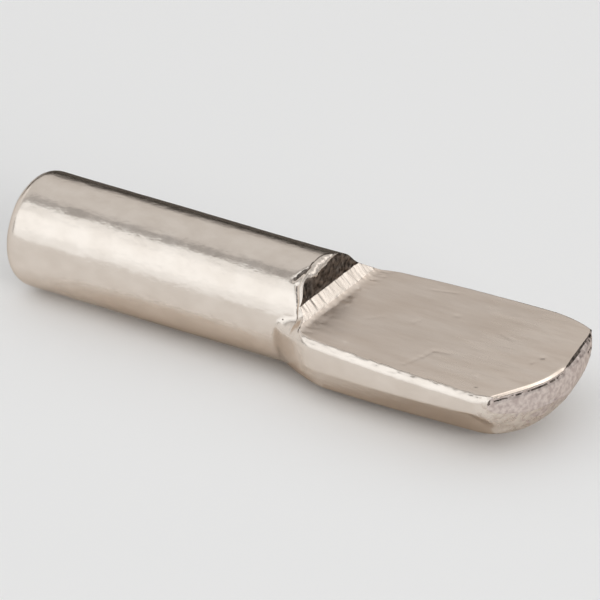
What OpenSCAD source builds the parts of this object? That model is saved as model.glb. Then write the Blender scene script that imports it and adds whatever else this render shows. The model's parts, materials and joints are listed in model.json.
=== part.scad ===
/* [Shank] */
// Diameter of the shank, the size of the hole that it goes in
pin_d = 5; // [4:0.1:6]
// Length of the plain shank, from its free end to where it starts to swell
pin_len = 13; // [9:0.5:20]
// Radius that rounds the edge of the free end
end_round = 0.75; // [0.3:0.05:1.2]

/* [Neck] */
// Length of the neck, over which the shank swells out to the shoulder and the belly
neck_len = 1.5; // [1:0.1:3]
// How much the forging thickened the neck's radius at the shoulder
neck_grow = 0.03; // [0.02:0.01:0.1]
// Length past the shoulder over which the belly goes on swelling
swell_front = 1.5; // [0.5:0.1:3]
// How high the swelling's top stands beside the neck on the left, where 1 is its full height
left_top = 1; // [0.4:0.05:1]
// The same on the right
right_top = 0.5; // [0.4:0.05:1]
// Length past the shoulder over which the top rises to its full height
top_rise = 0.6; // [0.4:0.05:1]

/* [Paddle] */
// Length of the paddle from the shoulder to the middle of its tip
paddle_len = 11.5; // [9:0.5:16]
// Width of the flat at its widest, near the tip
flat_w = 7.8; // [6.6:0.1:10]
// Width of the flat just past the shoulder
root_w = 6.6; // [5.6:0.1:8]
// Height of the flat above the shank's axis
flat_h = 0.7; // [0.3:0.05:1]
// How far each side bulges out past the edge of the flat
side_bulge = 0.25; // [0.1:0.01:0.4]
// Height from the widest line of the sides up to the flat
rim_h = 0.4; // [0.2:0.05:0.6]
// Fullness of the belly's section, where 2 is an ellipse and more is squarer
fullness = 2.3; // [2:0.05:3]
// How far the belly hangs below the shank, just past the shoulder
belly_drop = 0.2; // [0:0.05:0.6]
// How much of that depth the belly loses before it starts to sweep up to the tip
belly_slope = 0.4; // [0:0.05:0.9]

/* [Tip] */
// How far the middle of the tip's curved end stands out past its corners
tip_bow = 1.05; // [0.6:0.05:1.8]
// Length over which the belly sweeps up to the end face
rise_len = 2.3; // [1.5:0.1:4]
// Height of the end face at the middle of the tip
end_face_h = 1.25; // [0.6:0.05:1.8]
// How much the corner on the left of the tip is rounded off
left_round = 1.5; // [0.2:0.1:2]
// How much the corner on the right of the tip is rounded off
right_round = 0.2; // [0.2:0.1:2]

/* [Shoulder] */
// Height of the bevel, from the flat up to the square face
bevel_h = 0.55; // [0.35:0.05:0.9]
// Angle of the bevel, measured from the flat
bevel_angle = 45; // [30:1:60]
// Radius of the fillet between the bevel and the flat
root_fillet = 0.4; // [0.2:0.05:0.6]
// Height of the burr that stands up along the top edge of the square face
burr_h = 0.08; // [0.04:0.01:0.15]
// Width of the burr, along the pin
burr_w = 0.25; // [0.1:0.05:0.5]
// Angle round the shank over which the burr runs out to nothing
burr_arc = 80; // [50:5:100]
// Angle from the top of the shank down to the burr's highest point, on its right
burr_turn = 35; // [-45:5:45]

/* [Hidden] */
$fn = 96;

pin_r = pin_d / 2;
lip_r = pin_r + neck_grow;
// The belly starts this much smaller than the shank, so its hidden end is inside
sunk = 0.03;
// Power of the curve on which the belly sweeps up to the tip
rise_power = 3;
// A rounded corner follows an ellipse this much longer than it is deep,
// which starts this many depths before the corner
corner_stretch = 1.5;
corner_lead = 1.1;
// Largest gap between the belly's sections, and steps round their lower and upper halves.
// The lower steps are odd, so that the belly lies on a narrow flat and not on an edge
section_gap = 0.25;
lower_steps = 39;
upper_steps = 16;
// How far cutting tools reach past the metal
clear = 1;

tip_half_w = flat_w / 2;
corner_x = paddle_len - tip_bow;
rise_x = paddle_len - rise_len;
tip_r = (tip_half_w ^ 2 + tip_bow ^ 2) / (2 * tip_bow);
root_depth = pin_r + belly_drop;
bevel_end_x = bevel_h / tan(bevel_angle);
// The burr is the part of a smaller disc, set off the axis, that stands out of the neck
burr_off = ((lip_r + burr_h) ^ 2 - lip_r ^ 2) / (2 * (lip_r + burr_h - lip_r * cos(burr_arc / 2)));
burr_r = lip_r + burr_h - burr_off;

// In what follows x counts from the shoulder, and the whole pin is moved at the end
function clip(t) = min(max(t, 0), 1);
function mix(a, b, t) = a + (b - a) * t;

// Rises from 0 inside the shank, steeply at first, to 1 on the paddle
function swell(x) = 1 - (1 - clip((x + neck_len) / (neck_len + swell_front))) ^ 2;

// Half width of the flat: its sides are gentle curves that end parallel to the pin
function flat_half_w(x) = tip_half_w - (flat_w - root_w) / 2 * max(1 - x / corner_x, 0) ^ 2;

// How far the tip's arc has curved back at y, and how much of that the section at x follows
function arc_back(y) = tip_r - sqrt(tip_r ^ 2 - y ^ 2);
function arc_share(x) = x < paddle_len + section_gap ? clip(x / paddle_len) ^ 2 : 0;

// What a corner of the tip, rounded by r, takes off the half width of the section at x
function corner_cut(x, r) =
    let (from_corner = x - tip_bow * arc_share(x) - corner_x)
    r * (1 - sqrt(1 - clip((from_corner / r + corner_lead) / corner_stretch) ^ 2));

// Half width of the belly at its widest line, on a side whose corner is rounded by r
function side_half_w(x, r) =
    mix(pin_r - sunk, flat_half_w(x) + side_bulge - corner_cut(x, r), swell(x));

// Depth of the belly below the axis: a straight slope and then the sweep up to the tip
function slope_depth(x) = root_depth - belly_slope * clip(x / rise_x);
function sweep(x) = clip((x - rise_x) / rise_len) ^ rise_power;
function depth(x) =
    mix(pin_r - sunk, mix(slope_depth(x), end_face_h - flat_h, sweep(x)), swell(x));

// Height of the widest line above the axis
function widest_z(x) = mix(0, flat_h - rim_h, swell(x));

// Height of the section above its widest line, so that it narrows by side_bulge at the flat.
// Beside the neck it has the share of that height that is given for the side
function crown_h(x, share) =
    let (
        narrowed = flat_half_w(x) / (flat_half_w(x) + side_bulge),
        full_h = mix(pin_r - sunk, rim_h / sqrt(1 - narrowed ^ 2), swell(x))
    )
    full_h * mix(share, 1, clip(x / top_rise));

// A point of the section at x, at an angle that turns down from the left-hand side
function section_point(x, angle) =
    let (
        left = cos(angle) > 0,
        low = sin(angle) > 0,
        power = low ? 2 / mix(2, fullness, swell(x)) : 1,
        half_w = side_half_w(x, left ? left_round : right_round),
        reach = low ? depth(x) + widest_z(x) : crown_h(x, left ? left_top : right_top),
        y = half_w * sign(cos(angle)) * abs(cos(angle)) ^ power,
        z = widest_z(x) - reach * sign(sin(angle)) * abs(sin(angle)) ^ power
    )
    [x - arc_back(y) * arc_share(x), y, z];

section_angles = [
    for (i = [0 : lower_steps - 1]) 180 * i / lower_steps,
    for (i = [0 : upper_steps - 1]) 180 + 180 * i / upper_steps
];

// Sections run from inside the shank to half a step past the end face, which falls between
// two of them, and a flat one closes the loft
section_count = ceil((neck_len + paddle_len) / section_gap);
section_step = (neck_len + paddle_len) / (section_count - 0.5);
section_places = [
    for (i = [0 : section_count]) i * section_step - neck_len,
    paddle_len + clear
];

// Solid lofted through the sections, before the tip is trimmed and the flat is coined
module belly_loft() {
    ring = len(section_angles);
    last = len(section_places) - 1;
    points = [for (x = section_places, angle = section_angles) section_point(x, angle)];
    sides = [
        for (i = [0 : last - 1], j = [0 : ring - 1])
            let (a = i * ring + j, b = i * ring + (j + 1) % ring)
            each [[a, b, b + ring], [a, b + ring, a + ring]]
    ];
    ends = [
        [for (j = [ring - 1 : -1 : 0]) j],
        [for (j = [0 : ring - 1]) last * ring + j]
    ];
    polyhedron(points, concat(sides, ends), convexity = 4);
}

// Everything behind the curved end face
module tip_form() {
    height = 4 * root_depth;
    translate([paddle_len - tip_r, 0, 0]) cylinder(r = tip_r, h = height, center = true);
    translate([-2 * neck_len, -flat_w, -height / 2])
        cube([2 * neck_len + paddle_len - tip_r, 2 * flat_w, height]);
}

// Round bar with a rounded free end and a thickened neck, which runs on into the belly
module shank() {
    end_flat_r = pin_r - end_round;
    rotate([0, 90, 0]) translate([0, 0, -neck_len - pin_len]) rotate_extrude() {
        square([end_flat_r, end_round]);
        translate([0, end_round]) square([pin_r, pin_len - end_round]);
        intersection() {
            translate([end_flat_r, end_round]) circle(end_round);
            translate([end_flat_r, 0]) square(end_round);
        }
        translate([0, pin_len]) polygon([
            [0, 0],
            [pin_r, 0],
            [lip_r, neck_len],
            [lip_r, neck_len + bevel_end_x],
            [0, neck_len + bevel_end_x]
        ]);
    }
}

// Burr along the top edge of the square face
module burr() {
    rotate([burr_turn, 0, 0]) translate([-burr_w, 0, burr_off]) rotate([0, 90, 0])
        cylinder(r = burr_r, h = burr_w + bevel_end_x / 2);
}

// The punch that coins the flat, the bevel and the square face of the shoulder
module punch() {
    run = root_fillet * tan(bevel_angle / 2);
    end_x = paddle_len + 2 * clear;
    top_z = lip_r + clear;
    rotate([90, 0, 0]) linear_extrude(2 * flat_w, center = true) {
        polygon([
            [0, top_z],
            [0, flat_h + bevel_h],
            [bevel_end_x - run * cos(bevel_angle), flat_h + run * sin(bevel_angle)],
            [bevel_end_x + run, flat_h],
            [end_x, flat_h],
            [end_x, top_z]
        ]);
        translate([bevel_end_x + run, flat_h + root_fillet]) circle(root_fillet);
    }
}

// The origin is on the axis, where the neck starts and the hole's mouth stops the pin
module support_pin() {
    color("silver") translate([neck_len, 0, 0]) difference() {
        union() {
            shank();
            burr();
            intersection() {
                belly_loft();
                tip_form();
            }
        }
        punch();
    }
}

support_pin();
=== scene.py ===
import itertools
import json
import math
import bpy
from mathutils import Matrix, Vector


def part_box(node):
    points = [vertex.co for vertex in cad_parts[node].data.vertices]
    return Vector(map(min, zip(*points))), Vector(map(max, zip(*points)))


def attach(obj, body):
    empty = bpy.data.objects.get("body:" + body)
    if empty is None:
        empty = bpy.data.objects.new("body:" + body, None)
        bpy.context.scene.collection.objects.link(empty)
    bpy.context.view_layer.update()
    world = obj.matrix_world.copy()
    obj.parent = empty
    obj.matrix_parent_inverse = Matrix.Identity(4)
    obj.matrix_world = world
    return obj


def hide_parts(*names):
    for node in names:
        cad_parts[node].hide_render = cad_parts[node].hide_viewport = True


bl_info = {
    "name": "Shelf support pin",
    "version": (1, 0, 0),
    "blender": (4, 5, 0),
    "location": "3D View > Sidebar > Support pin",
    "description": "Nickel-plated shelf support pin on a plain studio floor",
    "category": "Object",
}

import bpy
import numpy as np
from bpy.props import FloatProperty, FloatVectorProperty, PointerProperty
from mathutils import Matrix, Vector

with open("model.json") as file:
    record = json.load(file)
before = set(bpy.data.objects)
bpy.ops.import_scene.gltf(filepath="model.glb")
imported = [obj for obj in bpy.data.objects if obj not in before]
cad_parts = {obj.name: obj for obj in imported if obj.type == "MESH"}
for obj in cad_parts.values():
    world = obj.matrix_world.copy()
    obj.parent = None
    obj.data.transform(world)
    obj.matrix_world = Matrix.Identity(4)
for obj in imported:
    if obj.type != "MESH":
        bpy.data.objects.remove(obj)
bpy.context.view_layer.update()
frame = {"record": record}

NODE = "support_pin"
BODY = "root"
MM = 0.001
NECK_LEN = 1.5  # mm from the frame's origin to the shoulder
LONGER = 0.13  # mm that the worn shank reaches past its solid's free end

LOW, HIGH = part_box(NODE)
SHANK_R = next(m for m in frame["record"]["mounts"] if m["name"] == "shank")["dims"]["r_mm"]
REST_Z = next(m for m in frame["record"]["mounts"] if m["name"] == "rest_face")["pos_m"][2]


# --- Sizes and colours that a user would change ---


def length(name, description, default_mm, low_mm=0.0, high_mm=50.0):
    """A length property, given in millimetres and kept in metres."""
    return FloatProperty(
        name=name,
        description=description,
        default=default_mm * MM,
        min=low_mm * MM,
        max=high_mm * MM,
        subtype="DISTANCE",
        unit="LENGTH",
        precision=5,
    )


def colour(name, description, default):
    return FloatVectorProperty(
        name=name, description=description, default=default, subtype="COLOR", size=3, min=0, max=1
    )


def amount(name, description, default, low=0.0, high=1.0):
    return FloatProperty(
        name=name, description=description, default=default, min=low, max=high, subtype="FACTOR"
    )


class PinSizes(bpy.types.PropertyGroup):
    """Sizes of the forged pin."""

    shank_r: length("Shank radius", "Radius of the round shank", SHANK_R)
    shank_len: length("Shank length", "From the free end to the neck", LONGER - LOW.x / MM)
    end_round: length("End rounding", "Radius round the shank's free end", 0.75)
    neck_len: length("Neck length", "Over which the shank swells out to the shoulder", NECK_LEN)
    neck_grow: length("Neck growth", "How much thicker the neck's radius is at the shoulder", 0.03)
    swell_front: length("Front swelling", "How far past the shoulder the belly still swells", 1.5)
    top_rise: length("Top rise", "How far past the shoulder the swelling's top still rises", 0.85)
    paddle_len: length("Paddle length", "From the shoulder to the tip", HIGH.x / MM - NECK_LEN)
    flat_w: length("Flat width", "Width of the flat at its widest", 7.8)
    root_w: length("Root width", "Width of the flat just past the shoulder", 6.6)
    flat_h: length("Flat height", "Height of the flat above the shank's axis", REST_Z / MM)
    side_bulge: length("Side bulge", "How far the sides stand out past the flat's edge", 0.25)
    rim_h: length("Rim height", "From the widest line of the sides up to the flat", 0.4)
    belly_drop: length("Belly drop", "How far the belly hangs below the shank", 0.2)
    belly_slope: length("Belly slope", "Depth that the belly loses on its way to the tip", 0.4)
    tip_bow: length("Tip bow", "How far the middle of the tip stands out past its corners", 1.05)
    rise_len: length("Rise length", "Length over which the belly sweeps up to the tip", 2.5)
    end_face_h: length("End face height", "Height of the end face at the middle", 1.25)
    left_round: length("Left corner", "Rounding of the tip's left corner", 1.7)
    right_round: length("Right corner", "Rounding of the tip's right corner", 0.6)
    bevel_h: length("Bevel height", "From the flat up to the square face", 0.55)
    root_fillet: length("Root fillet", "Radius between the bevel and the flat", 0.4)
    fullness: FloatProperty(
        name="Fullness", description="Section of the belly: 2 is an ellipse", default=2.3, min=2, max=3
    )
    left_top: amount("Left top", "Share of the swelling top's height beside the neck", 1)
    right_top: amount("Right top", "The same on the right", 0.5)


class PinLook(bpy.types.PropertyGroup):
    """Colours and finish of the plated metal."""

    plate: colour("Plate", "Colour of the nickel plate", (0.76, 0.68, 0.605))
    edge: colour("Edge tint", "Tint of the plate at a glancing angle", (0.75, 0.7, 0.65))
    roughness: amount("Roughness", "Roughness of the plated bar", 0.2)
    flat_roughness: amount("Flat roughness", "Roughness of the coined flat", 0.45)
    tip_roughness: amount("Tip roughness", "Roughness of the coined flat near the tip", 0.2)
    # This colour also paints the shade in the neck's marks, beside the shoulder and under the tip's burr
    torn: colour("Torn metal", "Colour of the torn square face of the shoulder", (0.13, 0.11, 0.095))
    sheared: colour("Sheared metal", "Colour of the grainy end face of the tip", (0.74, 0.65, 0.6))


class StudioLook(bpy.types.PropertyGroup):
    """Floor and light of the studio."""

    floor: colour("Floor", "Colour of the floor", (0.9, 0.9, 0.897))
    ambient: amount("Ambient", "Brightness of the room round the object", 0.42, 0, 3)
    key: amount("Front light", "Brightness of the front light", 1.17, 0, 5)
    core: amount("Core light", "Brightness added in the middle of the front light", 0.16, 0, 5)
    top: amount("Top light", "Brightness of the light over the floor", 0.64, 0, 5)
    back: amount("Back light", "Brightness of the light over the back", 0.76, 0, 5)
    bevel: amount("Bevel light", "Brightness of the light that the bevel mirrors", 0.6, 0, 5)
    edge: amount("Edge light", "Brightness of the light that the tip's edge mirrors", 0.85, 0, 5)
    tip: amount("Tip light", "Brightness of the light that the end face mirrors", 0.2, 0, 5)
    end: amount("End light", "Brightness of the light that the free end mirrors", 0.45, 0, 5)
    side: amount("Side light", "Brightness of the light over the floor beside the tip", 7.5, 0, 20)
    sheen: amount("Floor sheen", "Brightness added to the floor as the metal sees it", 0.07)


# --- Form of the pin: the same rules as its solid, with x counted from the shoulder, in mm ---


def mix(a, b, t):
    return a + (b - a) * t


def smooth(t):
    t = np.clip(t, 0, 1)
    return t * t * (3 - 2 * t)


def bump(distance, width):
    return np.exp(-((distance / width) ** 2))


def window(value, low, high, soft):
    """1 between low and high, falling off softly outside."""
    return smooth((value - low) / soft + 1) * smooth((high - value) / soft + 1)


def smooth_max(a, b, reach):
    """The larger of a and b, with the corner between them rounded over that reach."""
    h = np.clip(0.5 + 0.5 * (a - b) / reach, 0, 1)
    return mix(b, a, h) + reach * h * (1 - h)


class Form:
    """The pin's outline at any place along it."""

    sunk = 0.03  # the belly starts this much smaller than the shank
    rise_power = 3  # of the curve on which the belly sweeps up to the tip
    # A rounded corner follows an ellipse this much longer than it is deep,
    # which starts this many depths before the corner
    corner_stretch = 1.5
    corner_lead = 1.1
    # Where the neck's flare starts and ends along the swelling, and how high it is, as shares
    flare_start, flare_end, flare_high = 0.06, 0.22, 0.2
    # How far the tip's corners are worn back behind its arc, and how far out the wear starts
    right_worn, right_start = 0.28, 0.8
    left_worn, left_start = 0.08, 2.6
    # Where the lower side was struck flatter: along the paddle, and down to a turn in degrees
    struck_start, struck_end, struck_low = 1.5, 10.2, 38
    # The turn of its upper edge, in degrees, near its middle, and how much that falls per mm
    struck_middle, struck_high, struck_fall = 5.5, 11, 0.9
    # How far the corner between the neck and the belly is rounded: where it starts, and more
    # as the belly swells
    blend, blend_grow = 0.02, 0.4

    def __init__(self, sizes):
        for name in PinSizes.__annotations__:
            value = getattr(sizes, name)
            plain = name in ("fullness", "left_top", "right_top")
            setattr(self, name, value if plain else value / MM)
        self.tip_half_w = self.flat_w / 2
        self.corner_x = self.paddle_len - self.tip_bow
        self.rise_x = self.paddle_len - self.rise_len
        self.tip_r = (self.tip_half_w**2 + self.tip_bow**2) / (2 * self.tip_bow)
        self.root_depth = self.shank_r + self.belly_drop
        self.mark_z = self.flat_h + self.bevel_h

    def swell(self, x):
        share = np.clip((x + self.neck_len) / (self.neck_len + self.swell_front), 0, 1)
        # The metal flares out before it swells
        into = np.maximum(share - self.flare_start, 0) / (self.flare_end - self.flare_start)
        ahead = (1 - share) / (1 - self.flare_end)
        flare, rest = self.flare_high * into**1.5, 1 - (1 - self.flare_high) * ahead**1.6
        return np.where(share < self.flare_end, flare, rest)

    def flat_half_w(self, x):
        grow = (self.flat_w - self.root_w) / 2
        return self.tip_half_w - grow * np.maximum(1 - x / self.corner_x, 0) ** 2

    def arc_back(self, y):
        out = self.tip_half_w
        right = self.right_worn * smooth((-y - self.right_start) / (out - self.right_start))
        left = self.left_worn * smooth((y - self.left_start) / (out - self.left_start))
        return right + left + self.tip_r - np.sqrt(self.tip_r**2 - y**2)

    def arc_share(self, x):
        return np.clip(x / self.paddle_len, 0, 1) ** 2

    def corner_cut(self, x, r):
        from_corner = x - self.tip_bow * self.arc_share(x) - self.corner_x
        t = np.clip((from_corner / r + self.corner_lead) / self.corner_stretch, 0, 1)
        return r * (1 - np.sqrt(1 - t**2))

    def side_half_w(self, x, r):
        wide = self.flat_half_w(x) + self.side_bulge - self.corner_cut(x, r)
        return mix(self.shank_r - self.sunk, wide, self.swell(x))

    def depth(self, x):
        slope = self.root_depth - self.belly_slope * np.clip(x / self.rise_x, 0, 1)
        sweep = np.clip((x - self.rise_x) / self.rise_len, 0, 1) ** self.rise_power
        low = mix(slope, self.end_face_h - self.flat_h, sweep)
        return mix(self.shank_r - self.sunk, low, self.swell(x))

    def widest_z(self, x):
        return mix(0, self.flat_h - self.rim_h, self.swell(x))

    def crown_h(self, x, share):
        half_w = self.flat_half_w(x)
        narrowed = half_w / (half_w + self.side_bulge)
        full_h = mix(self.shank_r - self.sunk, self.rim_h / np.sqrt(1 - narrowed**2), self.swell(x))
        return full_h * mix(share, 1, np.clip(x / self.top_rise, 0, 1))

    def neck_r(self, x):
        fade = np.maximum(x - self.bevel_h, 0)  # past the bevel the bar sinks into the belly
        return self.shank_r + self.neck_grow * np.clip(1 + x / self.neck_len, 0, 1) - fade

    def belly(self, x, c, s):
        """Distance from the section's middle to the belly's outline, in the direction c, s."""
        half_w = np.where(
            c > 0, self.side_half_w(x, self.left_round), self.side_half_w(x, self.right_round)
        )
        low = s < 0
        power = np.where(low, mix(2, self.fullness, self.swell(x)), 2)
        crown = self.crown_h(x, np.where(c > 0, self.left_top, self.right_top))
        high = np.where(low, self.depth(x) + self.widest_z(x), crown)
        return ((np.abs(c) / half_w) ** power + (np.abs(s) / high) ** power) ** (-1 / power)

    def ground(self, x, c, s):
        """How much closer the outline is where the belly's lower side was struck flatter."""
        turn = np.arctan2(-s, np.abs(c))
        first = np.radians(self.struck_high - self.struck_fall * (x - self.struck_middle))
        last = math.radians(self.struck_low) + 0 * x
        side = np.where(c > 0, 1, -1)
        # A straight line joins the outline's points at the first and the last turn
        (y1, z1), (y2, z2) = (
            self.belly(x, side * np.cos(a), -np.sin(a)) * np.array([np.cos(a), np.sin(a)])
            for a in (first, last)
        )
        line = (y1 * z2 - z1 * y2) / (np.abs(c) * (z2 - z1) + s * (y2 - y1))
        struck = (turn > first) & (turn < last)
        flat = window(x, self.struck_start, self.struck_end, 1.2)
        return np.where(struck, flat * (self.belly(x, c, s) - line), 0)

    def reach(self, x, angle):
        """Distance from the section's middle, at the height of its widest line, to its outline."""
        c, s = np.cos(angle), np.sin(angle)
        belly = self.belly(x, c, s) - self.ground(x, c, s)
        z = self.widest_z(x)
        neck = -z * s + np.sqrt(np.maximum(self.neck_r(x), 0.5) ** 2 - (z * c) ** 2)
        return np.where(
            x <= -self.neck_len,
            self.shank_r,
            smooth_max(belly, neck, self.blend + self.blend_grow * self.swell(x)),
        )

    def mark_angle(self, x, z, left):
        """Angle at which the outline passes height z, on its left or right side."""
        low = np.full_like(x, 0.0)
        high = np.full_like(x, math.pi / 2)
        for _ in range(40):
            middle = (low + high) / 2
            angle = middle if left else math.pi - middle
            above = self.widest_z(x) + self.reach(x, angle) * np.sin(angle) > z
            high = np.where(above, middle, high)
            low = np.where(above, low, middle)
        return low if left else math.pi - low


# --- Unevenness of forged metal ---


def noise(points, scale, seed):
    """Smooth random bumps from -1 to 1, as wide along each axis as scale says."""
    place = points / np.array(scale) + 17.3 * seed
    cell = np.floor(place).astype(np.int64)
    t = smooth(place - cell)
    total = np.zeros(len(points))
    for corner in itertools.product((0, 1), repeat=3):
        n = cell + corner
        mixed = n[:, 0] * 73856093 ^ n[:, 1] * 19349663 ^ n[:, 2] * 83492791
        mixed = (mixed * 2654435761 + 12345) & 0xFFFFFFFF
        mixed = ((mixed ^ (mixed >> 15)) * 2246822519) & 0xFFFFFFFF
        value = ((mixed >> 13) & 0xFFFF) / 32767.5 - 1
        total += value * np.prod(np.where(corner, t, 1 - t), axis=1)
    return total


def lip_back(turn):
    """How far back of the shoulder the lip's crest is, at a turn in degrees from the right."""
    return 0.28 * smooth((turn - 30) / 22) * (1 - smooth((turn - 84) / 27))


# Where two marks run on the neck: turns in degrees from the right, and x at each of them
GROOVE = ((16.5, 35, 48), (0, -0.24, -0.49))
DIMPLE = ((53.5, 63.5, 72), (-0.7, -0.53, -0.35))


def painted_shade(x, turn):
    """How dark the neck is painted as shade at x: in the marks, in the painted shadow behind the crest
    and along the crease.
    """
    dimple = 0.95 * window(turn, 54, 66, 4) * bump(x - np.interp(turn, *DIMPLE), 0.12)
    crest_shadow = 0.9 * window(turn, 62, 76, 4) * bump(x + lip_back(turn) + 0.09, 0.05)
    crease = 0.38 * bump(turn - 9, 7) * window(x, -0.65, -0.35, 0.1)
    notch = 1.1 * bump(turn - 12.5, 2) * bump(x - 0.47, 0.06)
    groove = 0.85 * window(turn, 16, 46, 3) * bump(x - np.interp(turn, *GROOVE), 0.03)
    return dimple + crest_shadow + crease + notch + groove


def neck_detail(x, turn):
    """How far the neck stands out at x: the lip's bead, the marks behind it, and a dent."""
    behind = x + lip_back(turn)
    bead = 0.045 * window(turn, 28, 92, 14) * bump(behind, 0.08)
    groove = 0.05 * window(turn, 15, 48, 3) * bump(x - np.interp(turn, *GROOVE), 0.08)
    dimple = 0.07 * window(turn, 56, 68, 8) * bump(x - np.interp(turn, *DIMPLE), 0.11)
    dent = 0.03 * bump(turn - 12, 7) * bump(x + 0.42, 0.25)
    return bead - groove - dimple - dent


# --- Mesh of the pin, ring by ring ---

# The torn kind also paints shade: in the neck's marks, beside the shoulder and under the tip's burr
BAR, LIP, TORN_AND_SHADE, STRUCK, COINED, GRAINY, SHEARED = range(7)  # kinds of surface, and their materials

# How uneven each kind is: size in mm of the bumps, how wide they are along X, Y and Z, and a seed
UNEVEN = {
    BAR: ((0.011, (2.4, 1.1, 1.1), 1), (0.004, (0.7, 0.25, 0.25), 2)),
    LIP: ((0.025, (0.3, 0.15, 0.15), 11), (0.018, (0.13, 0.08, 0.08), 12)),
    TORN_AND_SHADE: ((0.045, (0.5, 0.24, 0.2), 3), (0.02, (0.3, 0.11, 0.1), 4)),
    STRUCK: ((0.009, (3.0, 0.16, 3.0), 5), (0.006, (0.5, 0.09, 0.5), 6)),
    COINED: ((0.006, (2.2, 1.3, 1.0), 7), (0.0015, (0.8, 0.3, 0.3), 8)),
    GRAINY: ((0.008, (0.5, 0.35, 0.3), 9), (0.004, (0.2, 0.12, 0.1), 10)),
    SHEARED: ((0.012, (0.5, 0.35, 0.3), 9), (0.011, (0.2, 0.12, 0.1), 10)),
}

# Pits in the flat: x, y, radius and depth
PITS = (
    (10.29, 0.23, 0.1, 0.03),
    (10.13, -0.38, 0.09, 0.02),
    (5.41, 1.42, 0.13, 0.015),
    (0.9, 0.15, 0.08, 0.03),
    (0.7, -0.4, 0.07, 0.03),
    (0.62, -1.15, 0.08, 0.03),
    (0.68, 1.3, 0.07, 0.03),
    (0.75, 2.3, 0.09, 0.04),
)

# Scratches in the flat: x and y of both ends, and depth
SCRATCHES = (
    (5.70, -3.25, 6.01, -2.33, 0.008),
    (6.01, -2.33, 6.16, -1.62, 0.01),
    (6.16, -1.62, 6.83, -1.52, 0.008),
    (8.80, -2.56, 9.23, -3.32, 0.012),
    (2.69, -2.97, 3.14, -3.61, 0.015),
    (1.01, 2.70, 1.10, 3.48, 0.008),
    (4.15, 0.02, 4.24, 0.28, 0.01),
    (3.41, 2.86, 4.36, 3.14, 0.006),
    (7.73, 1.11, 8.48, 0.86, 0.006),
    (2.28, -0.74, 2.89, -0.15, 0.006),
)


def spread(count, ends, power=2.0):
    """count values from 0 to 1, closer together at both ends when ends is near 1."""
    t = np.linspace(0, 1, count)
    near = np.where(t < 0.5, (2 * t) ** power / 2, 1 - (2 - 2 * t) ** power / 2)
    return mix(t, near, ends)


SIDE = 128  # points on each half of a ring, so both halves can meet across the end face
RING = 2 * SIDE - 2
TOP = slice(SIDE, RING)  # a ring's points over the top, between the two that end its lower half


def profile_rings(form):
    """Places of the rings past the shoulder, the height of the punched top and its kind."""
    turn = math.radians(45)  # of the bevel from the flat
    run = form.root_fillet * math.tan(turn / 2)
    bevel_end = form.bevel_h / math.tan(turn)
    rows = []
    for t in spread(12, 0.6)[1:]:
        x = t * (bevel_end - run * math.cos(turn))
        rows.append((x, form.mark_z - t * (form.bevel_h - run * math.sin(turn)), STRUCK))
    for t in np.linspace(0, 1, 8)[1:]:
        a = turn * (1 - t)
        x = bevel_end + run - form.root_fillet * math.sin(a)
        rows.append((x, form.flat_h + form.root_fillet * (1 - math.cos(a)), COINED))
    start = rows[-1][0]
    for t in np.linspace(0, 1, 79)[1:]:
        rows.append((mix(start, form.rise_x - 0.4, t), form.flat_h, COINED))
    start = rows[-1][0]
    for t in 1 - (1 - np.linspace(0, 1, 54)[1:]) ** 1.15:
        rows.append((mix(start, form.paddle_len, t), form.flat_h, COINED))
    return rows


def chord(y):
    """1 in the middle of the left part of the tip, where the flat's edge runs straight."""
    return np.maximum(1 - ((y - 1.6) / 1.55) ** 2, 0)


def flat_edge(y, before):
    """How the flat is moved along X and Z: rounded on the right, its edge set back on the left."""
    rounded = 0.12 * window(y, -3.8, -0.1, 0.15) * np.maximum(1 - before / 0.14, 0)
    rolled = 0.03 * np.maximum((-y - 2.3) / 1.4, 0) ** 2
    return -0.19 * chord(y) * smooth(1 - before / 0.5), -rounded - rolled


def end_relief(y, deep, t):
    """How far the end face stands out at y and at a depth below the flat."""
    bulge = (0.05 + 0.06 * window(y, 1, 2.9, 1)) * 4 * t * (1 - t)
    set_back = 0.19 * chord(y) * (1 - smooth(deep / 0.25))
    under_burr = 0.05 * window(y, -3.6, -0.1, 0.2) * bump(deep - 0.13, 0.06)
    ridge = 0.04 * window(y, -1.4, 0.7, 0.15) * bump(t - 0.04, 0.05)
    return bulge - set_back - under_burr + ridge


def end_shade(y, deep):
    """1 where the end face is painted dark: in the painted shadow under the flat's set-back edge on the
    left and under the burr on the right, at the right-hand corner, and more and more towards the left.
    """
    left = 1.5 * (chord(y) > 0.08) * (deep < 0.04 + 0.05 * chord(y + 0.7))
    right = 0.6 * window(y, -3.6, -0.1, 0.2) * (deep > 0.06) * (deep < 0.14)
    corner = (y < -3.85) * (deep < 0.25)
    mottled = 0.45 * smooth((y - 1.9) / 0.8)
    return left + right + corner + mottled


def marked(points):
    """How deep the pits and scratches in the flat are at the points."""
    x, y = points[:, 0], points[:, 1]
    depth = np.zeros(len(points))
    for pit_x, pit_y, radius, deep in PITS:
        depth += deep * bump(np.hypot(x - pit_x, y - pit_y), radius)
    for x1, y1, x2, y2, deep in SCRATCHES:
        run_x, run_y = x2 - x1, y2 - y1
        t = np.clip(((x - x1) * run_x + (y - y1) * run_y) / (run_x**2 + run_y**2), 0, 1)
        depth += 1.6 * deep * bump(np.hypot(x - x1 - t * run_x, y - y1 - t * run_y), 0.08)
    return depth


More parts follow.
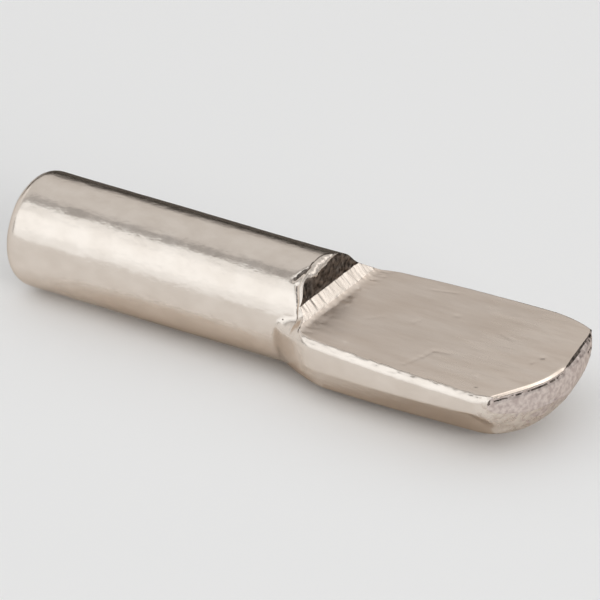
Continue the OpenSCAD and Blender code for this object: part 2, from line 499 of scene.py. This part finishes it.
class Skin:
    """Collects points and faces, ring by ring, and notes what kind of surface each one is."""

    def __init__(self):
        self.points = []
        self.point_kinds = []
        self.faces = []
        self.face_kinds = []
        self.count = 0

    def add(self, points, kind):
        first = self.count
        self.points.append(points)
        self.point_kinds.append(np.broadcast_to(kind, len(points)))
        self.count += len(points)
        return np.arange(first, self.count)

    def join(self, a, b, kind, closed=True):
        """Faces between two rows of point numbers, leaving out what has no width."""
        kinds = np.broadcast_to(kind, len(a))
        a2, b2 = (np.roll(a, -1), np.roll(b, -1)) if closed else (a[1:], b[1:])
        a1, b1 = (a, b) if closed else (a[:-1], b[:-1])
        for face in zip(a1.tolist(), a2.tolist(), b2.tolist(), b1.tolist(), kinds.tolist()):
            corners = list(dict.fromkeys(face[:4]))
            if len(corners) > 2:
                self.faces.append(corners)
                self.face_kinds.append(face[4])


def ring_angles(form, x, z):
    """Angles of a ring's points: down the left, under and up the right, then over the top."""
    left = form.mark_angle(x, z, True)
    right = form.mark_angle(x, z, False)
    under = spread(SIDE, 0.55)[None, :]
    over = spread(SIDE, 0.55)[None, 1:-1]
    left, right = left[:, None], right[:, None]
    return np.concatenate(
        [mix(left, right - 2 * math.pi, under), mix(right, left, over)], axis=1
    )


def ring_points(form, x, angles):
    reach = form.reach(x, angles)
    y = reach * np.cos(angles)
    z = form.widest_z(x) + reach * np.sin(angles)
    return np.stack([x, y, z], axis=-1)


def bar_rows(form):
    """Places and radii of the rings from the middle of the free end to the neck."""
    free_x = -form.neck_len - form.shank_len
    flat_r = form.shank_r - form.end_round
    for r in np.linspace(0, flat_r, 12)[1:]:
        yield free_x, r
    for a in np.radians(np.linspace(0, 90, 12)[1:]):
        yield free_x + form.end_round * (1 - math.cos(a)), flat_r + form.end_round * math.sin(a)
    for x in np.linspace(free_x + form.end_round, -form.neck_len, 97)[1:]:
        yield x, form.shank_r


def add_bar(skin, form):
    """The free end and the shank; returns the numbers of the last ring's points."""
    plain = ring_angles(form, np.array([-form.neck_len]), np.array([form.mark_z]))[0]
    middle = skin.add(np.array([[-form.neck_len - form.shank_len, 0, 0]]), BAR)
    previous = np.full(RING, middle[0])
    for x, r in bar_rows(form):
        points = np.stack([np.full(RING, x), r * np.cos(plain), r * np.sin(plain)], -1)
        here = skin.add(points, BAR)
        skin.join(here, previous, BAR)
        previous = here
    return previous


def patchy(points, dirty):
    """Where the painted shade shows, in uneven patches."""
    return dirty + 0.45 * noise(points, (0.12, 0.12, 0.12), 15) > 0.55


def add_neck(skin, form, previous):
    """The neck, whose last ring follows the lip's crest; also returns that ring and its turns."""
    run = min(0.8, 0.6 * form.neck_len)  # the lip and its marks reach this far back
    plain = np.linspace(-form.neck_len, -run, 10)[1:]
    xs = np.concatenate([plain, np.linspace(-run, 0, 44)[1:]])
    angles = ring_angles(form, xs, np.full_like(xs, form.mark_z))
    back = np.zeros_like(angles)
    back[:, TOP] = lip_back(180 - np.degrees(angles[:, TOP]))
    grid = xs[:, None] - back * smooth(1 + xs[:, None] / run)
    neck = ring_points(form, grid, angles)
    out = np.hypot(neck[..., 1], neck[..., 2])
    turn = np.degrees(np.arctan2(neck[..., 2], -neck[..., 1]))
    neck[..., 1:] *= (1 + neck_detail(grid, turn) / out)[..., None]
    # Faces in the painted shade of the marks, behind the crest and along the crease, get the torn face's
    # dark material
    for points, dirty in zip(neck, painted_shade(grid, turn)):
        here = skin.add(points, BAR)
        skin.join(here, previous, np.where(patchy(points, dirty), TORN_AND_SHADE, BAR))
        previous = here
    return previous, neck[-1], 180 - np.degrees(angles[-1, TOP])


def add_square_face(skin, form, lines, lip, turns):
    """Over the lip from its crest, and down to the top of the bevel."""
    previous = lines
    back = -lip[TOP, 0]
    high = lip[TOP, 2] - form.mark_z
    round_h = np.clip(1.05 * back, 1e-3, 0.6 * high)
    rounded = smooth((turns - 54) / 14)  # the lip is a thin crest on the right, and rolled on
    bead = 0.05
    for t in spread(26, 0.35)[1:]:
        down = high * t**1.4
        straight = back * (1 - (down / high) ** 0.8)
        curved = back * (1 - np.sqrt(1 - (1 - np.minimum(down / round_h, 1)) ** 2))
        crest = bead * (1 - t) * np.sqrt(1 - (1 - np.minimum(down / bead, 1)) ** 2)
        row = lip[TOP].copy()
        row[:, 0] = crest * (1 - rounded) - mix(straight, curved, rounded)
        row[:, 2] -= down
        row[:, 0] += 0.07 * bump(np.hypot(row[:, 1] - 0.71, row[:, 2] - 1.51), 0.12)  # a burr
        lip_kind = np.where(rounded > 0.5, LIP, BAR)
        lip_kind = np.where(down < mix(0.06, round_h, rounded), lip_kind, TORN_AND_SHADE)
        here = lines.copy()
        here[TOP] = skin.add(row, lip_kind if t < 1 else STRUCK)
        kinds = np.full(RING, TORN_AND_SHADE)
        kinds[TOP] = lip_kind
        skin.join(here, previous, kinds)
        previous = here
    return previous


def paddle_kinds(points, x, top_kind):
    """Kinds of a ring's faces: the punched top, the belly, and painted shade beside the shoulder."""
    kinds = np.full(RING, top_kind)
    under = points[: SIDE - 1]
    ragged = under[:, 0] + 0.5 * noise(under, (0.2, 0.2, 0.2), 13)
    kinds[: SIDE - 1] = np.where(ragged > 11.1, SHEARED, np.where(ragged > 10.1, GRAINY, BAR))
    turn = np.degrees(np.arctan2(points[:, 2], -points[:, 1]))
    # Painted shade in the marks beside the shoulder, on the right side of the belly just under the flat
    side = slice(SIDE - 30, SIDE - 1)
    kinds[side][patchy(points, painted_shade(x, turn))[side]] = TORN_AND_SHADE
    return kinds


def add_paddle(skin, form, previous, lip):
    """The belly and the punched top; also returns the last ring."""
    right_y, left_y = lip[SIDE - 1, 1], lip[0, 1]
    share_y = (lip[TOP, 1] - right_y) / (left_y - right_y)
    rows = profile_rings(form)
    xs = np.array([row[0] for row in rows])
    zs = np.array([row[1] for row in rows])
    angles = ring_angles(form, xs, zs)
    paddle = ring_points(form, xs[:, None] + 0 * angles, angles)
    for (x, z, top_kind), points in zip(rows, paddle):
        points[TOP, 0] = x
        points[TOP, 1] = mix(points[SIDE - 1, 1], points[0, 1], share_y)
        points[TOP, 2] = z
        points[:, 0] -= form.arc_back(points[:, 1]) * form.arc_share(x)
        along, up = flat_edge(points[TOP, 1], form.paddle_len - x)
        points[TOP, 0] += along
        points[TOP, 2] += up * smooth((x - 1) / 2)
        points[TOP, 2] -= marked(points[TOP])
        kinds = paddle_kinds(points, x, top_kind)
        marks = kinds.copy()
        if 0.4 < x < 1.1:
            marks[TOP] = SHEARED  # the fillet is crumpled
        marks[SIDE - 4 : SIDE + 2] = LIP  # the flat's right-hand edge is ragged
        here = skin.add(points, marks)
        skin.join(here, previous, kinds)
        previous = here
    return previous, paddle[-1]


def across(ring):
    """A ring's lower half and its upper half, both from left to right."""
    return ring[:SIDE], np.concatenate([ring[:1], ring[TOP][::-1], ring[SIDE - 1 : SIDE]])


def add_end_face(skin, form, lines, last):
    """Rows between the belly's last outline and the flat's curved edge."""
    under, over = across(last)
    low_row, top_row = across(lines)
    before = low_row
    for t in spread(30, 0.5)[1:-1]:
        row = mix(under, over, t)
        deep = over[:, 2] - row[:, 2]
        row[:, 0] = form.paddle_len - form.arc_back(row[:, 1])
        row[:, 0] += end_relief(row[:, 1], deep, t)
        # Faces in the painted shadow under the flat's edge and the burr get the torn face's dark
        # material
        dark = end_shade(row[:, 1], deep) + 0.4 * noise(row, (0.12, 0.12, 0.12), 14) > 0.5
        here = low_row.copy()
        here[1:-1] = skin.add(row[1:-1], SHEARED)
        skin.join(here, before, np.where(dark, TORN_AND_SHADE, SHEARED), closed=False)
        before = here
    skin.join(top_row, before, np.where(dark, TORN_AND_SHADE, SHEARED), closed=False)


def build_skin(form):
    skin = Skin()
    lines = add_bar(skin, form)
    lines, lip, turns = add_neck(skin, form, lines)
    lines = add_square_face(skin, form, lines, lip, turns)
    lines, last = add_paddle(skin, form, lines, lip)
    add_end_face(skin, form, lines, last)
    return skin


def uneven_mesh(skin):
    """The skin's mesh, with every kind of surface pushed in and out as unevenly as it is."""
    points = np.concatenate(skin.points)
    kinds = np.concatenate(skin.point_kinds)
    mesh = bpy.data.meshes.new("forged_pin")
    mesh.from_pydata((points * MM).tolist(), [], skin.faces)
    mesh.polygons.foreach_set("material_index", skin.face_kinds)
    mesh.polygons.foreach_set("use_smooth", np.ones(len(skin.faces), bool))
    mesh.update()
    normals = np.empty(points.size)
    mesh.vertex_normals.foreach_get("vector", normals)
    push = np.zeros(len(points))
    for kind, layers in UNEVEN.items():
        here = kinds == kind
        for size, scale, seed in layers:
            push[here] += size * noise(points[here], scale, seed)
    points += push[:, None] * normals.reshape(-1, 3)
    points[:, 2] = np.maximum(points[:, 2], LOW.z / MM)  # nothing sinks into the floor
    return mesh, points


# --- Materials ---


def new_material(name):
    material = bpy.data.materials.new(name)
    material.use_nodes = True
    tree = material.node_tree
    return material, tree, tree.nodes["Principled BSDF"]


def noise_node(tree, place, scale, detail):
    node = tree.nodes.new("ShaderNodeTexNoise")
    node.inputs["Scale"].default_value = scale
    node.inputs["Detail"].default_value = detail
    tree.links.new(place, node.inputs["Vector"])
    return node.outputs["Fac"]


def ramp_node(tree, factor, low, high):
    ramp = tree.nodes.new("ShaderNodeValToRGB")
    ramp.color_ramp.elements[0].position, ramp.color_ramp.elements[1].position = 0.36, 0.64
    ramp.color_ramp.elements[0].color = (*low, 1)
    ramp.color_ramp.elements[1].color = (*high, 1)
    tree.links.new(factor, ramp.inputs["Fac"])
    return ramp.outputs["Color"]


def range_node(tree, value, low, high, to_low, to_high):
    node = tree.nodes.new("ShaderNodeMapRange")
    names = ("From Min", "From Max", "To Min", "To Max")
    for name, number in zip(names, (low, high, to_low, to_high)):
        node.inputs[name].default_value = number
    tree.links.new(value, node.inputs["Value"])
    return node.outputs["Result"]


def nickel(name, colour, worn, tint, roughness, stretch, grain, relief):
    """Nickel plate whose colour, gloss and fine relief vary over the surface.

    The roughness is given near the shoulder and near the tip, the width of the patches along
    X, Y and Z and the relief's depth in mm, and the grain says how much finer it is than they are.
    """
    material, tree, shader = new_material(name)
    coords = tree.nodes.new("ShaderNodeTexCoord").outputs["Object"]
    mapping = tree.nodes.new("ShaderNodeMapping")
    mapping.inputs["Scale"].default_value = [1 / MM / width for width in stretch]
    tree.links.new(coords, mapping.inputs["Vector"])
    place = mapping.outputs["Vector"]
    patches = noise_node(tree, place, 1, 4)
    tree.links.new(ramp_node(tree, patches, worn, colour), shader.inputs["Base Color"])

    # The gloss changes along the pin, and everywhere with the grain
    apart = tree.nodes.new("ShaderNodeSeparateXYZ")
    tree.links.new(coords, apart.inputs["Vector"])
    fine = noise_node(tree, place, grain, 5)
    gloss = tree.nodes.new("ShaderNodeMath")
    gloss.operation = "MULTIPLY"
    tree.links.new(range_node(tree, apart.outputs["X"], 3 * MM, 12 * MM, *roughness), gloss.inputs[0])
    tree.links.new(range_node(tree, fine, 0.3, 0.7, 0.8, 1.2), gloss.inputs[1])
    tree.links.new(gloss.outputs[0], shader.inputs["Roughness"])

    bumps = tree.nodes.new("ShaderNodeBump")
    bumps.inputs["Distance"].default_value = relief * MM
    tree.links.new(fine, bumps.inputs["Height"])
    tree.links.new(bumps.outputs["Normal"], shader.inputs["Normal"])

    shader.inputs["Metallic"].default_value = 1
    shader.inputs["Specular Tint"].default_value = (*tint, 1)
    return material


def tinted(colour, factors):
    return [part * factor for part, factor in zip(colour, factors)]


def pin_materials(look):
    """One material for each kind of surface, in the order of their numbers."""
    plate, edge, torn, sheared = look.plate, look.edge, look.torn, look.sheared
    worn = tinted(plate, (0.93, 0.92, 0.91))
    flat = tinted(plate, (0.99, 0.965, 0.95))
    rows = (
        ("plated_bar", plate, worn, edge, look.roughness, (1.2, 0.8, 0.8), 3, 0.014),
        ("rough_lip", plate, tinted(plate, (0.75,) * 3), edge, 0.3, (0.3, 0.2, 0.2), 1, 0.02),
        # The torn face's material also serves as painted shade in the neck's marks, beside the shoulder
        # and under the tip's burr
        ("torn_face", tinted(torn, (2,) * 3), tinted(torn, (0.5,) * 3), torn, 0.5, (0.25,) * 3, 2, 0.05),
        ("struck_bevel", plate, worn, edge, 0.26, (1, 0.3, 1), 2, 0.01),
        ("coined_flat", flat, tinted(flat, (0.92, 0.9, 0.88)), edge, None, (3, 0.8, 1), 2.5, 0.008),
        ("grainy_belly", plate, tinted(plate, (0.8, 0.77, 0.75)), edge, 0.3, (0.3,) * 3, 1, 0.015),
        ("sheared_end", sheared, tinted(sheared, (0.7, 0.66, 0.66)), edge, 0.4, (0.2,) * 3, 1, 0.03),
    )
    coined = look.flat_roughness, look.tip_roughness
    return [
        nickel(name, colour, dull, tint, coined if rough is None else (rough, rough), *grain)
        for name, colour, dull, tint, rough, *grain in rows
    ]


def floor_material(look):
    """Pale matt floor, a little brighter in the metal's reflections than its shading alone."""
    material, tree, shader = new_material("studio_floor")
    shader.inputs["Base Color"].default_value = (*look.floor, 1)
    shader.inputs["Roughness"].default_value = 1
    shader.inputs["Specular IOR Level"].default_value = 0
    shader.inputs["Emission Color"].default_value = (1, 1, 1, 1)
    rays = tree.nodes.new("ShaderNodeLightPath")
    seen = tree.nodes.new("ShaderNodeMath")
    seen.operation = "MULTIPLY"
    seen.inputs[1].default_value = look.sheen
    tree.links.new(rays.outputs["Is Glossy Ray"], seen.inputs[0])
    tree.links.new(seen.outputs[0], shader.inputs["Emission Strength"])
    return material


# --- Operators ---


class SUPPORTPIN_OT_forge(bpy.types.Operator):
    """Makes the forged and plated pin"""

    bl_idname = "supportpin.forge"
    bl_label = "Forge the pin"

    def execute(self, context):
        form = Form(context.scene.pin_sizes)
        mesh, points = uneven_mesh(build_skin(form))
        mesh.vertices.foreach_set("co", ((points + [form.neck_len, 0, 0]) * MM).ravel())
        mesh.update()
        if mesh.validate():
            raise RuntimeError("the pin's mesh has a broken face")
        for material in pin_materials(context.scene.pin_look):
            mesh.materials.append(material)
        pin = bpy.data.objects.new("forged_pin", mesh)
        context.scene.collection.objects.link(pin)
        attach(pin, BODY)
        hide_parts(NODE)
        print("triangles", sum(len(face.vertices) - 2 for face in mesh.polygons))
        return {"FINISHED"}


# Long lamps and the board behind reach past the free end, to where the shank's side mirrors
LAMP_SPAN, BOARD_SPAN, MIDDLE_X = 1.6, 2.0, -0.3
BOARD_LIFT = 0.0001  # boards on the floor lie this much above it


def aim(obj, place):
    """Puts an object in its place and turns its front to the origin."""
    obj.location = place
    obj.rotation_euler = (-Vector(place)).to_track_quat("-Z", "Y").to_euler()


def direction(azimuth, elevation):
    """Unit vector towards a place round the object: azimuth 0 is -Y and 90 is +X."""
    a, e = math.radians(azimuth), math.radians(elevation)
    return Vector((math.sin(a) * math.cos(e), -math.cos(a) * math.cos(e), math.sin(e)))


def area_lamp(name, size, size_y, radiance, tint=(1, 1, 1), glossy=True, diffuse=True):
    """Lamp that the camera doesn't see: it shows in the metal, lights what is there, or both."""
    lamp = bpy.data.lights.new(name, "AREA")
    lamp.shape = "RECTANGLE"
    lamp.size, lamp.size_y = size, size_y
    lamp.energy = radiance * math.pi * lamp.size * lamp.size_y
    lamp.color = tint
    obj = bpy.data.objects.new(name, lamp)
    bpy.context.scene.collection.objects.link(obj)
    obj.visible_camera = False
    obj.visible_glossy, obj.visible_diffuse = glossy, diffuse
    return obj


def soft_box(name, low, high, distance, radiance, **settings):
    """Long lamp beside the object, from low to high degrees, counted from -Y over the top."""
    middle, half = math.radians((low + high) / 2), math.radians((high - low) / 2)
    obj = area_lamp(name, LAMP_SPAN, 2 * distance * math.tan(half), radiance, **settings)
    towards = Vector((0, -math.cos(middle), math.sin(middle)))
    obj.location = towards * distance + Vector((MIDDLE_X, 0, 0))
    across = Vector((1, 0, 0))
    turned = Matrix((across, towards.cross(across), towards)).transposed()
    obj.rotation_euler = turned.to_euler()


def spot_box(name, towards, distance, size, radiance, **settings):
    """Square lamp in a direction from the object, facing it."""
    obj = area_lamp(name, size, size, radiance, **settings)
    aim(obj, Vector(towards).normalized() * distance)


def dark_board(name, corners, shade):
    """Dark board that only the metal's reflections show."""
    mesh = bpy.data.meshes.new(name)
    mesh.from_pydata(corners, [], [(0, 1, 2, 3)])
    material, _, shader = new_material(name)
    shader.inputs["Base Color"].default_value = (*shade, 1)
    shader.inputs["Roughness"].default_value = 1
    shader.inputs["Specular IOR Level"].default_value = 0
    mesh.materials.append(material)
    obj = bpy.data.objects.new(name, mesh)
    bpy.context.scene.collection.objects.link(obj)
    obj.visible_camera = obj.visible_diffuse = obj.visible_shadow = False
    return obj


def standing_board(name, low, high, distance, shade):
    """Dark board standing behind the object, from low to high degrees over its top."""
    z0, z1 = (distance * math.tan(math.radians(180 - a)) for a in (high, low))
    x0, x1 = MIDDLE_X - BOARD_SPAN / 2, MIDDLE_X + BOARD_SPAN / 2
    corners = [(x0, distance, z0), (x1, distance, z0), (x1, distance, z1), (x0, distance, z1)]
    return dark_board(name, corners, shade)


def lying_board(name, corners, shade):
    """Dark board lying on the floor, given by its corners' x and y."""
    return dark_board(name, [(x, y, LOW.z + BOARD_LIFT) for x, y in corners], shade)


def fading_board(name, corners, shade):
    """Lying board that fades out towards its corners and edges."""
    obj = lying_board(name, corners, shade)
    tree = obj.data.materials[0].node_tree
    coords = tree.nodes.new("ShaderNodeTexCoord").outputs["Generated"]
    mapping = tree.nodes.new("ShaderNodeMapping")
    mapping.inputs["Location"].default_value = (-1, -1, 0)
    mapping.inputs["Scale"].default_value = (2, 2, 0)
    tree.links.new(coords, mapping.inputs["Vector"])
    fade = tree.nodes.new("ShaderNodeTexGradient")
    fade.gradient_type = "SPHERICAL"
    tree.links.new(mapping.outputs["Vector"], fade.inputs["Vector"])
    shown = range_node(tree, fade.outputs["Fac"], 0, 0.5, 0, 1)
    tree.links.new(shown, tree.nodes["Principled BSDF"].inputs["Alpha"])
    return obj


def lay_floor(look):
    half, z = 3.0, LOW.z
    mesh = bpy.data.meshes.new("floor")
    corners = [(-half, -half, z), (half, -half, z), (half, half, z), (-half, half, z)]
    mesh.from_pydata(corners, [], [(0, 1, 2, 3)])
    mesh.materials.append(floor_material(look))
    floor = bpy.data.objects.new("floor", mesh)
    bpy.context.scene.collection.objects.link(floor)


def light_room(look):
    """The world's even light, and the lamps over and round the object."""
    world = bpy.data.worlds.new("studio")
    bpy.context.scene.world = world
    world.use_nodes = True
    background = world.node_tree.nodes["Background"]
    background.inputs["Color"].default_value = (1, 1, 1, 1)
    background.inputs["Strength"].default_value = look.ambient

    # A lamp's brightness is added to what is seen behind it. Most only show in the metal
    mirrored, lighting = {"diffuse": False}, {"glossy": False}
    cool = (0.94, 1, 1.05)
    soft_box("front_light", 0, 72, 0.6, look.key - look.ambient, tint=cool, **mirrored)
    soft_box("core_light", 18, 52, 0.58, look.core, tint=cool, **mirrored)
    soft_box("back_light", 87, 154, 0.6, look.back - look.ambient)
    soft_box("top_light", 42, 85, 0.8, look.top, **lighting)
    spot_box("bevel_light", (0.6, 0.62, 0.5), 0.5, 0.3, look.bevel, **mirrored)
    spot_box("tip_light", (0.92, -0.35, 0.2), 0.6, 0.4, look.tip, **mirrored)
    spot_box("end_light", (-0.95, 0.05, 0.12), 0.6, 0.5, look.end, **mirrored)
    spot_box("side_light", (0.9, -0.38, 0.27), 0.8, 0.4, look.side, **lighting)
    spot_box("edge_light", (0.5, 0.25, 0.83), 0.5, 0.35, look.edge, **mirrored)


def set_boards():
    """Dark boards behind the object; and painted shadow on the floor under the paddle and beside the
    shank, which only the metal's reflections show.
    """
    standing_board("dark_board", 163, 180, 0.5, (0.06, 0.055, 0.05))
    behind = [(-0.02, 0.005), (0, 0.005), (0, 0.49), (-0.35, 0.49)]
    lying_board("dark_floor", behind, (0.15, 0.14, 0.13))
    # Painted shadow on the floor under the paddle, for the belly's lower side to mirror
    under = [(0, -0.0026), (0.011, -0.0034), (0.011, 0.002), (0, 0.002)]
    lying_board("dark_patch", under, (0.72, 0.66, 0.6))
    # Painted shadow on the floor beside the shank near the shoulder, for the shank's lower side to
    # mirror
    beside = [(-0.0125, -0.0048), (0.0025, -0.0048), (0.0025, -0.0002), (-0.0125, -0.0002)]
    fading_board("dark_neck", beside, (0.8, 0.75, 0.7))


def place_camera():
    """Camera with a long lens, at azimuth 32 and elevation 28.3 degrees."""
    azimuth, elevation = 32, 28.3
    view_width = 24.917 * MM  # what it sees from side to side, at the shoulder
    aside, above = -1.163 * MM, 0.494 * MM  # from the shoulder to the middle of the view
    camera = bpy.data.cameras.new("camera")
    camera.lens, camera.sensor_width = 900, 36
    camera.clip_start, camera.clip_end = 0.01, 10
    obj = bpy.data.objects.new("camera", camera)
    bpy.context.scene.collection.objects.link(obj)
    back = direction(azimuth, elevation)
    right = direction(azimuth + 90, 0)
    target = Vector((NECK_LEN * MM, 0, 0)) + right * aside + back.cross(right) * above
    obj.location = target + back * view_width * camera.lens / camera.sensor_width
    obj.rotation_euler = back.to_track_quat("Z", "Y").to_euler()
    bpy.context.scene.camera = obj


class SUPPORTPIN_OT_stage(bpy.types.Operator):
    """Makes the floor, the lights and the camera"""

    bl_idname = "supportpin.stage"
    bl_label = "Set the stage"

    def execute(self, context):
        look = context.scene.pin_studio
        lay_floor(look)
        light_room(look)
        set_boards()
        place_camera()
        context.scene.view_settings.view_transform = "Standard"
        return {"FINISHED"}


class SUPPORTPIN_PT_panel(bpy.types.Panel):
    """Sizes, colours and light of the pin, and the buttons that make it"""

    bl_idname = "SUPPORTPIN_PT_panel"
    bl_label = "Support pin"
    bl_space_type = "VIEW_3D"
    bl_region_type = "UI"
    bl_category = "Support pin"

    def draw(self, context):
        for group in (context.scene.pin_sizes, context.scene.pin_look, context.scene.pin_studio):
            box = self.layout.box()
            for name in type(group).__annotations__:
                box.prop(group, name)
        self.layout.operator(SUPPORTPIN_OT_stage.bl_idname)
        self.layout.operator(SUPPORTPIN_OT_forge.bl_idname)


CLASSES = (
    PinSizes,
    PinLook,
    StudioLook,
    SUPPORTPIN_OT_stage,
    SUPPORTPIN_OT_forge,
    SUPPORTPIN_PT_panel,
)


def register():
    for cls in CLASSES:
        bpy.utils.register_class(cls)
    bpy.types.Scene.pin_sizes = PointerProperty(type=PinSizes)
    bpy.types.Scene.pin_look = PointerProperty(type=PinLook)
    bpy.types.Scene.pin_studio = PointerProperty(type=StudioLook)


def unregister():
    for name in ("pin_sizes", "pin_look", "pin_studio"):
        delattr(bpy.types.Scene, name)
    for cls in reversed(CLASSES):
        bpy.utils.unregister_class(cls)


def main():
    register()
    bpy.ops.supportpin.stage()
    bpy.ops.supportpin.forge()


if __name__ == "__main__":
    main()
